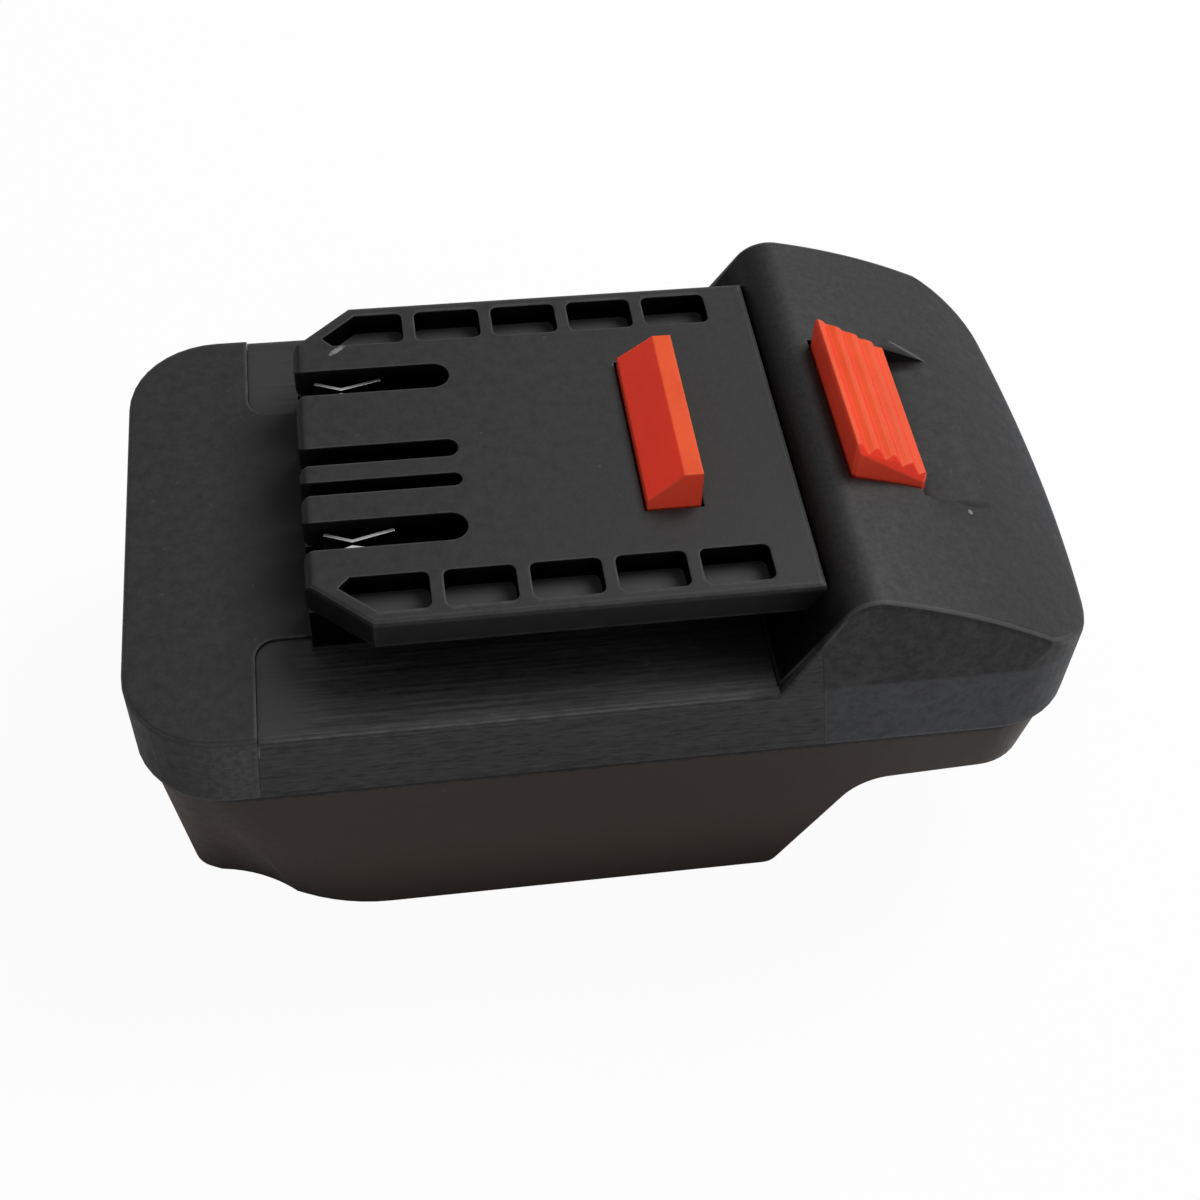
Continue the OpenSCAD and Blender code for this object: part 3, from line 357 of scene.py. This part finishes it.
    # Form and finish
    def bump(self, height, depth, normal=None):
        made = self.add("ShaderNodeBump")
        self.put(made.inputs["Height"], height)
        self.put(made.inputs["Distance"], depth)
        self.put(made.inputs["Strength"], 1.0)
        if normal is not None:
            self.put(made.inputs["Normal"], normal)
        return made.outputs[0]

    def soft_edge(self, radius):
        made = self.add("ShaderNodeBevel", samples=6)
        self.put(made.inputs["Radius"], radius)
        return made.outputs[0]

    def air(self, reach, samples, local):
        """One in the open and lower in corners and recesses, looking as far as the reach in millimetres."""
        made = self.add("ShaderNodeAmbientOcclusion", samples=samples, only_local=local)
        self.put(made.inputs["Distance"], reach * MM)
        return made.outputs["AO"]

    def edge_mask(self, normal):
        """One along outward edges, where the softened normal leaves the face's own."""
        dot = self.add("ShaderNodeVectorMath", operation="DOT_PRODUCT")
        self.put(dot.inputs[0], normal)
        self.put(dot.inputs[1], self.face())
        bent = self.step(self.rest(dot.outputs["Value"]), 0.004, 0.07)
        return self.times(bent, self.step(self.air(1.5, 4, True), 0.72, 0.95))

    def surface(self, color, rough, normal, metallic=0.0, specular=0.5):
        made = self.add("ShaderNodeBsdfPrincipled")
        self.put(made.inputs["Base Color"], color)
        self.put(made.inputs["Roughness"], rough)
        self.put(made.inputs["Normal"], normal)
        self.put(made.inputs["Metallic"], metallic)
        self.put(made.inputs["Specular IOR Level"], specular)
        self.tree.links.new(made.outputs[0], self.out.inputs[0])
        return self.material


# Dark plastics. The zones of a piece change its look: the tone and height, how much edges are worn and
# how wide they are, and how much painted shade falls on a place.
def moulded(
    name, color, pale, rough,
    mottle=0.32, depth=0.016, edge=0.5, dust=0.15, specular=0.33, lift=0.4, zones=None,
):
    """Mottled tone, fine grain, painted shade in recesses, paler worn edges and a few specks."""
    g = Graph(name)
    cloud = g.noise(*CLOUD)
    grain = g.noise(*GRAIN)
    look = {
        "shade": g.mix(g.widen(cloud, 0.22), tinted(color, 1 - mottle), tinted(color, 1 + mottle)),
        "height": g.plus(g.times(cloud, 1.5), grain),
        "wear": 0.6,
        "edge": edge * MM,
        "open": 1.0,
    }
    if zones is not None:
        zones(g, look)
    soft = g.soft_edge(look["edge"])
    rubbed = g.step(g.noise(*RUBBING), 0.3, 0.62, 0.45, 1.0)
    shade = g.mix(g.times(g.edge_mask(soft), rubbed, look["wear"]), look["shade"], pale)
    specks = g.times(g.step(g.noise(*DUST), 0.775, 0.8), dust)
    shade = g.mix(specks, shade, DUST_TONE)
    # Painted shade: recesses, corners and places under other parts are painted dark, with less specular,
    # least where they face up
    open_share = g.step(g.air(22.0, 8, False), 0.1, 0.9, 0.04, 1.0)
    lifted = g.leveled(UPWARD, 0.0, lift)
    light = g.plus(open_share, g.times(g.rest(open_share), lifted))
    light = g.times(light, look["open"])
    shade = g.mix(light, grey(0.0), shade)
    gloss = g.widen(cloud, 0.2, rough - 0.06, rough + 0.07)
    normal = g.bump(look["height"], depth * MM, soft)
    return g.surface(shade, gloss, normal, specular=g.times(light, specular))


def shell_zones(g, look):
    """Tones of the upper shell's walls, painted shadows, a painted highlight on the crest and the thumb
    recess's painted shade and highlight.
    """
    high = g.rise(g.up(), DECK_Z)
    rear = g.rise(g.along(), HUMP_FOOT_X)
    side = g.times(rear, g.rise(g.over(), HUMP_SIDE_Y))
    upright = g.leveled(UPRIGHT, 1.0, 0.0)
    shell_walls(g, look, high, rear, side, upright)
    shell_shadows(g, look, high, side, upright)
    hump_crest_highlight(g, look, high)
    thumb_recess(g, look)


def shell_walls(g, look, high, rear, side, upright):
    """Sandy hump, blotchy lens on its sides, bluish wall below them and a coarse nose wall, painted near
    black as shade toward its front.
    """
    along = g.along()
    hump = g.times(high, g.rise(along, HUMP_TOP_X))
    sand = g.widen(g.noise(*SAND), 0.14)
    shade = g.mix(hump, look["shade"], g.mix(sand, *HUMP_TONES))
    blotch = g.widen(g.noise(*BLOTCHES), 0.16)
    shade = g.mix(g.times(high, side), shade, g.mix(blotch, *LENS_TONES))
    speckle = g.widen(g.noise(*SPECKLE), 0.16)
    shade = g.mix(g.times(g.rest(high), rear), shade, g.mix(speckle, *WALL_TONES))
    coarse = g.widen(g.noise(*COARSE))
    # Painted shade: the nose wall's front takes near-black tones
    front, back = g.mix(coarse, *NOSE_FRONT_SHADE_TONES), g.mix(coarse, *NOSE_REAR_TONES)
    nose = g.times(upright, g.fall(along, NOSE_WALL_X))
    look["shade"] = g.mix(nose, shade, g.mix(g.rise(along, NOSE_FADE_X), front, back))


def shell_shadows(g, look, high, side, upright):
    """Painted deep shadow in the neck, on the hump's front and on the deck ahead of the plate."""
    along, over = g.along(), g.over()
    neck = g.times(upright, high, g.fall(over, NECK_Y), g.fall(along, NECK_END_X))
    front = g.times(high, g.rest(side), g.rise(along, HUMP_FRONT_X), g.fall(along, HUMP_SHADE_X, 0.84))
    # Painted shade: the neck and the hump's front are darkened, with less specular
    look["open"] = g.times(g.rest(g.times(neck, 0.93)), g.rest(front))
    ahead = g.times(g.rise(along, DECK_SHADE_X), g.fall(along, DECK_SHADE_END_X), g.fall(over, DECK_SHADE_Y))
    # Painted shadow on the deck ahead of the plate
    look["shade"] = g.mix(g.times(ahead, 0.6), look["shade"], grey(0.003))


def hump_crest_highlight(g, look, high):
    """A painted highlight: one pale line where the hump's top folds into its sides, which takes the place of
    the edge wear.
    """
    along, over = g.along(), g.over()
    bent = g.calc("ABSOLUTE", g.facing(1))
    fold = g.times(g.step(bent, 0.16, 0.3), g.step(bent, 0.72, 0.86, 1.0, 0.0), g.rise(over, CREST_Y), high)
    line = g.times(fold, g.rise(along, CREST_LINE_X), 0.75)
    # Painted highlight along the fold
    look["shade"] = g.mix(line, look["shade"], CREST_HIGHLIGHT_TONE)
    crest = g.times(g.rise(along, CREST_X), g.rise(over, CREST_Y), g.rise(g.up(), CREST_Z))
    look["wear"] = g.between(crest, look["wear"], 0.15)


def thumb_recess(g, look):
    """A soft recess behind the button with painted shade, a painted shadow streak on its near side, a painted
    highlight streak on its far side, and a speck.
    """
    along = g.along()
    shade = g.mix(g.spot(*SPECK_SPOT), look["shade"], SPECK_TONE)
    recess = g.times(g.rise(along, RECESS_X), g.fall(along, RECESS_END_X), g.fall(g.over(), RECESS_Y))
    # Painted shade in the recess, fading away from the button
    dim = g.times(recess, g.fall(along, RECESS_FADE_X, 0.5))
    shade = g.mix(dim, shade, grey(0.004))
    # Painted shadow streak and painted highlight streak along the recess's edges
    shade = g.mix(g.times(g.spot(*RECESS_SHADOW_STREAK), 0.8), shade, grey(0.003))
    look["shade"] = g.mix(g.spot(*RECESS_HIGHLIGHT_STREAK), shade, grey(0.085))
    look["edge"] = g.between(recess, look["edge"], 3.5 * MM)
    look["wear"] = g.step(recess, 0.0, 0.5, look["wear"], 0.0)


def plate_zones(g, look):
    """Painted shade on upright faces, most on those facing the nose, pocket floors painted pale as light, and
    one corner scuffed.
    """
    over = g.over()
    # Painted shade: upright faces are darkened, with less specular, most where they face the nose
    look["open"] = g.times(g.leveled(SHADED_SIDE, 0.4, 1.0), g.step(g.facing(0), -0.5, -0.2, 0.55, 1.0))
    # Painted light: pocket floors are painted pale
    floor = g.times(g.leveled(LEVEL), g.fall(g.up(), POCKET_FLOOR_Z), g.rise(over, POCKET_Y))
    shade = g.mix(g.times(floor, 0.8), look["shade"], grey(0.06))
    look["shade"] = g.mix(g.spot(*SCUFF_SPOT), shade, SCUFF_TONE)
    rim = g.rise(over, PLATE_RIM_Y)
    look["edge"] = g.between(rim, look["edge"], 1.2 * MM)
    look["wear"] = g.between(rim, look["wear"], 0.9)


def base_zones(g, look):
    """Painted light toward the foot and painted shade toward the rim, a painted warm sheen on the nose and
    the tail, and a painted shadow as a dark ragged line under the rim.
    """
    up = g.up()
    # Painted light and shade: lighter toward the foot, darker toward the rim
    fade = g.mix(g.rise(up, BASE_FADE_Z), grey(1.4), grey(0.86))
    shade = g.mix(1.0, look["shade"], fade, "MULTIPLY")
    # Painted sheen on the nose and the tail, chosen by which way the faces look
    shade = g.mix(g.step(g.facing(0), -0.95, -0.4, 0.75, 0.0), shade, NOSE_PAINTED_SHEEN)
    shade = g.mix(g.step(g.facing(0), 0.15, 0.7, 0.0, 0.7), shade, TAIL_PAINTED_SHEEN)
    # Painted shadow under the upper shell's rim
    ragged = g.plus(up, g.times(g.noise(*RAGGED_LINE), 1.3 * MM))
    look["shade"] = g.mix(g.rise(ragged, BASE_RIM_SHADOW_Z), shade, BASE_RIM_SHADOW_TONE)
    corner = g.rise(g.calc("ABSOLUTE", g.along()), BASE_CORNER_X)
    look["edge"] = g.between(corner, look["edge"], 2.0 * MM)
    look["wear"] = g.step(corner, 0.0, 0.5, look["wear"], 0.0)


def bed_zones(g, look):
    """Fine broken lines along X that run out on the paler front pad, painted light on the top faces and a
    painted shadow on the top by the hump, under the plate; only the outer top edge is painted pale.
    """
    along, over = g.along(), g.over()
    top = g.leveled(UPWARD)
    share = g.between(top, 0.3, 0.65)
    ridge = g.plus(g.times(g.lines(BED_DASHES), g.rest(share)), g.times(g.lines(BED_LINES), share))
    pad = g.times(g.fall(along, BED_PAD_X), top)
    lined = g.rest(g.times(pad, 0.85))
    # Painted light: top faces are painted paler, and the lines take paler tones there
    shade = g.mix(g.times(top, 0.7), look["shade"], BED_TOP_LIGHT_TONE)
    shade = g.mix(g.times(pad, 0.5), shade, BED_PAD_TONE)
    dark = g.times(g.step(ridge, 0.36, 0.5, 1.0, 0.0), lined)
    pale = g.times(g.step(ridge, 0.5, 0.64), lined)
    shade = g.mix(dark, shade, g.mix(top, *BED_DARK_TONES))
    shade = g.mix(pale, shade, g.mix(top, *BED_PALE_TONES))
    # Painted shadow on the top by the hump, under the plate
    nook_shadow = g.times(top, g.rise(along, BED_NOOK_X), g.fall(over, BED_NOOK_Y, 0.8))
    look["shade"] = g.mix(nook_shadow, shade, grey(0.002))
    look["height"] = g.plus(look["height"], g.times(ridge, lined, 4.0))
    outer = g.times(g.rise(over, BED_EDGE_Y), g.rise(g.up(), BED_EDGE_Z), g.fall(along, BED_EDGE_END_X))
    look["wear"] = g.between(outer, 0.1, 1.0)
    look["edge"] = g.between(outer, 0.1 * MM, 0.6 * MM)


# The other materials
def orange_red(name):
    """Satin orange-red plastic with faint print lines, paler edges and painted light: level, leaning and
    upright faces each get their own lit and shaded tone.
    """
    g = Graph(name)
    soft = g.soft_edge(0.4 * MM)
    fine = g.noise(*LATCH_FINE)
    line = g.lines(PRINT_LINES)
    tone = g.plus(g.times(fine, 0.4), g.times(g.noise(*LATCH_BROAD), 0.6))
    drawn = g.widen(tone)
    # Painted light: the tone follows how each face leans
    shade = g.mix(g.leveled(BUTTON_SLOPE), g.mix(drawn, *LEANING_FACE_LIGHT_TONES), g.mix(drawn, *LEVEL_FACE_LIGHT_TONES))
    shade = g.mix(g.leveled(UPRIGHT, 1.0, 0.0), shade, g.mix(drawn, *UPRIGHT_FACE_LIGHT_TONES))
    shade = g.mix(g.times(g.step(line, 0.5, 0.75), 0.12), shade, PRINT_TONE)
    shade = g.mix(g.times(g.edge_mask(soft), 0.3), shade, LATCH_EDGE_TONE)
    gloss = g.widen(tone, 0.2, 0.4, 0.52)
    height = g.plus(g.times(fine, 0.6), line)
    return g.surface(shade, gloss, g.bump(height, 0.012 * MM, soft), specular=0.25)


def metal(name, color, rough, scale, sheared_painted_shade=False):
    """Sheet, wire or bar: drawn or rolled lines, faint tarnish and bright edges; with painted shade, all
    faces but the level ones are painted near black instead.
    """
    g = Graph(name)
    soft = g.soft_edge(0.12 * MM)
    drawn = g.lines(scale, 3.0, 0.6)
    stain = g.noise(*TARNISH)
    if sheared_painted_shade:
        # Painted shade: all but the level upper edges are painted near black; these keep a bright metal tone
        shade = g.mix(g.leveled(LEVEL), tinted(color, 0.06), tinted(color, 1.2))
    else:
        shade = g.mix(g.step(stain, 0.35, 0.75), color, tinted(color, 0.72))
        shade = g.mix(g.times(g.edge_mask(soft), 0.5), shade, tinted(color, 1.2))
    worked = g.plus(g.times(drawn, 0.6), g.times(stain, 0.4))
    gloss = g.widen(worked, 0.2, rough - 0.08, rough + 0.12)
    return g.surface(shade, gloss, g.bump(drawn, 0.012 * MM, soft), metallic=1.0)


def insulation(name, color):
    """Smooth insulation with a faint extrusion grain."""
    g = Graph(name)
    grain = g.lines(LEAD_GRAIN)
    shade = g.mix(g.widen(grain), tinted(color, 0.8), tinted(color, 1.15))
    return g.surface(shade, g.widen(grain, 0.2, 0.32, 0.46), g.bump(grain, 0.01 * MM), specular=0.4)


MATERIALS = {
    "shell": moulded(
        "shell_plastic", (0.0215, 0.0215, 0.022), grey(0.1), 0.56, edge=0.8, zones=shell_zones,
    ),
    "plate": moulded(
        "plate_plastic", grey(0.0208), grey(0.1), 0.56, lift=0.85, zones=plate_zones,
    ),
    "bed": moulded(
        "bed_plastic", (0.0195, 0.0195, 0.02), grey(0.16), 0.54, lift=0.6, zones=bed_zones,
    ),
    "base": moulded(
        "base_plastic", (0.0355, 0.0243, 0.0195), (0.065, 0.055, 0.05), 0.46,
        mottle=0.1, depth=0.003, specular=0.25, zones=base_zones,
    ),
    "inner": moulded("inner_plastic", (0.011, 0.011, 0.012), grey(0.05), 0.5, dust=0.2),
    "latch": orange_red("latch_plastic"),
    "spring": metal("spring_steel", (0.55, 0.56, 0.58), 0.3, (900.0, 900.0, 900.0)),
    "clip": metal("clip_plate", grey(0.82), 0.34, (60.0, 60.0, 1900.0), sheared_painted_shade=True),
    "blade": metal("blade_brass", (0.72, 0.53, 0.24), 0.3, (50.0, 900.0, 1700.0)),
    "guide": metal("guide_steel", (0.5, 0.51, 0.53), 0.34, (40.0, 1500.0, 1500.0)),
    "screw": metal("screw_steel", (0.16, 0.165, 0.175), 0.36, (1500.0, 1500.0, 300.0)),
    "insert": metal("insert_brass", (0.7, 0.5, 0.2), 0.32, (1500.0, 1500.0, 400.0)),
    "lead_red": insulation("lead_red", (0.42, 0.02, 0.016)),
    "lead_black": insulation("lead_black", (0.012, 0.012, 0.013)),
}


def dress(obj, slot):
    obj.data.materials.clear()
    obj.data.materials.append(MATERIALS[slot])


for entry in frame["record"]["subparts"]:
    dress(frame["nodes"][entry["node"]], entry["material_slot"])


# Pieces of the housing that only the scene has
def mesh_object(name, bm):
    mesh = bpy.data.meshes.new(name)
    bm.to_mesh(mesh)
    bm.free()
    obj = bpy.data.objects.new(name, mesh)
    scene.collection.objects.link(obj)
    return obj


def housing_piece(name, bm, slot):
    obj = mesh_object(name, bm)
    dress(obj, slot)
    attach(obj, "housing")
    return obj


def tube(name, path, radius, sides, slot):
    """A closed round tube along points, with its frame carried from ring to ring."""
    bm = bmesh.new()
    ahead = (path[1] - path[0]).normalized()
    side = ahead.orthogonal().normalized()
    rings = []
    for i, point in enumerate(path):
        now = (path[min(i + 1, len(path) - 1)] - path[max(i - 1, 0)]).normalized()
        side = (side - now * side.dot(now)).normalized()
        other = now.cross(side)
        rings.append([
            bm.verts.new(point + radius * (math.cos(a) * side + math.sin(a) * other))
            for a in (2 * math.pi * k / sides for k in range(sides))
        ])
    for low, high in zip(rings, rings[1:]):
        for k in range(sides):
            bm.faces.new((low[k], low[(k + 1) % sides], high[(k + 1) % sides], high[k])).smooth = True
    bm.faces.new(list(reversed(rings[0])))
    bm.faces.new(rings[-1])
    return housing_piece(name, bm, slot)


def coil_spring(name, node):
    """A compression spring with closed end turns, in the space of its plain solid."""
    low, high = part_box(node)
    wire, turns, dead, closed = SPRING_WIRE, SPRING_TURNS, SPRING_CLOSED_TURNS, SPRING_CLOSED_PITCH
    centre = (low + high) / 2
    radius = (high.x - low.x) / 2 - wire
    z0, z1 = low.z + wire, high.z - wire
    count = int(turns * SPRING_STEPS)
    path = []
    for i in range(count + 1):
        t = turns * i / count
        if t < dead:
            z = z0 + closed * t / dead
        elif t > turns - dead:
            z = z1 - closed * (turns - t) / dead
        else:
            z = z0 + closed + (z1 - z0 - 2 * closed) * (t - dead) / (turns - 2 * dead)
        a = 2 * math.pi * t
        path.append(Vector((centre.x + radius * math.cos(a), centre.y + radius * math.sin(a), z)))
    obj = tube(name, path, wire, SPRING_SIDES, "spring")
    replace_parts(obj, node)
    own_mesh(obj)


def lead_wire(name, node, slot):
    """An insulated lead on a smooth curve between the two ends of its plain solid."""
    low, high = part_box(node)
    sign = 1.0 if high.y > 0 else -1.0
    start = Vector((low.x, sign * (max(abs(low.y), abs(high.y)) - LEAD_WIRE), low.z + LEAD_WIRE))
    end = Vector((high.x, sign * (min(abs(low.y), abs(high.y)) + LEAD_WIRE), high.z - LEAD_WIRE))
    stub = Vector((LEAD_STUB, 0, 0))
    pull = Vector((LEAD_PULL, 0, 0))
    a, d = start + stub, end - stub
    b, c = a + pull, d - pull
    path = [start]
    for i in range(LEAD_STEPS + 1):
        t = i / LEAD_STEPS
        path.append((1 - t) ** 3 * a + 3 * (1 - t) ** 2 * t * b + 3 * (1 - t) * t * t * c + t ** 3 * d)
    path.append(end)
    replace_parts(tube(name, path, LEAD_WIRE, LEAD_SIDES, slot), node)


def tail_lining(name, node):
    """A thin curved strip in the leaning tail wall, behind a slit where the shell's hollow comes through."""
    rim_z, rim_bow = 31 * MM, 179 * MM
    foot_x, foot_half = 51 * MM, 37.7 * MM
    low_z, high_z, half_w = 22.5 * MM, 25.6 * MM, 26.5 * MM
    depth, thick = 0.03 * MM, 0.5 * MM
    rows, cols = 4, 24
    tip_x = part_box(node)[1].x

    def wall_x(y, z):
        t = z / rim_z
        bent = max(0.0, abs(y) - (1 - t) * foot_half) / t
        return foot_x + t * (tip_x - foot_x) - t * (rim_bow - math.sqrt(rim_bow ** 2 - bent ** 2))

    bm = bmesh.new()
    outer, inner = [
        [[
            bm.verts.new((wall_x(y, z) - into, y, z))
            for y in (half_w * (2 * c / cols - 1) for c in range(cols + 1))
        ] for z in (low_z + (high_z - low_z) * r / rows for r in range(rows + 1))]
        for into in (depth, depth + thick)
    ]
    for r in range(rows):
        for c in range(cols):
            for sheet in (outer, inner):
                corners = (sheet[r][c], sheet[r][c + 1], sheet[r + 1][c + 1], sheet[r + 1][c])
                bm.faces.new(corners).smooth = True
        for c in (0, cols):
            bm.faces.new((outer[r][c], outer[r + 1][c], inner[r + 1][c], inner[r][c]))
    for r in (0, rows):
        for c in range(cols):
            bm.faces.new((outer[r][c], outer[r][c + 1], inner[r][c + 1], inner[r][c]))
    bmesh.ops.recalc_face_normals(bm, faces=bm.faces)
    housing_piece(name, bm, "base")


coil_spring("spring_coil_left", "latch_spring_left")
coil_spring("spring_coil_right", "latch_spring_right")
lead_wire("lead_wire_positive", "positive_lead", "lead_red")
lead_wire("lead_wire_negative", "negative_lead", "lead_black")
tail_lining("tail_wall_lining", "lower_shell")


# Studio
def make_floor():
    """A pale floor that the camera sees almost white."""
    bm = bmesh.new()
    bmesh.ops.create_grid(bm, x_segments=8, y_segments=8, size=FLOOR_HALF)
    floor = mesh_object("floor", bm)
    floor.location.z = -FLOOR_DROP
    g = Graph("floor_paper")
    matte = g.add("ShaderNodeBsdfDiffuse")
    g.put(matte.inputs["Color"], g.mix(g.widen(g.noise(*PAPER)), *PAPER_TONES))
    glow = g.add("ShaderNodeEmission")
    g.put(glow.inputs["Color"], grey(1.0))
    seen = g.add("ShaderNodeLightPath")
    both = g.calc("MAXIMUM", seen.outputs["Is Camera Ray"], seen.outputs["Is Transmission Ray"])
    blend = g.add("ShaderNodeMixShader")
    g.put(blend.inputs[0], g.times(both, FLOOR_GLOW))
    g.put(blend.inputs[1], matte.outputs[0])
    g.put(blend.inputs[2], glow.outputs[0])
    g.tree.links.new(blend.outputs[0], g.out.inputs[0])
    floor.data.materials.append(g.material)


def make_world():
    """Weak even fill, with a white backdrop for the camera alone."""
    world = bpy.data.worlds.new("studio")
    scene.world = world
    world.use_nodes = True
    tree = world.node_tree
    tree.nodes.clear()
    out = tree.nodes.new("ShaderNodeOutputWorld")
    path = tree.nodes.new("ShaderNodeLightPath")
    blend = tree.nodes.new("ShaderNodeMixShader")
    tree.links.new(path.outputs["Is Camera Ray"], blend.inputs[0])
    for index, power in ((1, FILL_POWER), (2, BACKDROP_POWER)):
        white = tree.nodes.new("ShaderNodeBackground")
        white.inputs[0].default_value = (1.0, 1.0, 1.0, 1.0)
        white.inputs[1].default_value = power
        tree.links.new(white.outputs[0], blend.inputs[index])
    tree.links.new(blend.outputs[0], out.inputs[0])


def soft_light(name, place, size, power):
    """A white rectangle of light, aimed at the part."""
    data = bpy.data.lights.new(name, "AREA")
    data.shape = "RECTANGLE"
    data.size, data.size_y = size
    data.energy = power
    lamp = bpy.data.objects.new(name, data)
    lamp.location = place
    aim = Vector(LAMP_AIM) - Vector(place)
    lamp.rotation_euler = aim.to_track_quat("-Z", "Y").to_euler()
    scene.collection.objects.link(lamp)


make_floor()
make_world()
soft_light("key", **KEY_LAMP)
soft_light("front", **FRONT_LAMP)
scene.view_settings.view_transform = "Standard"
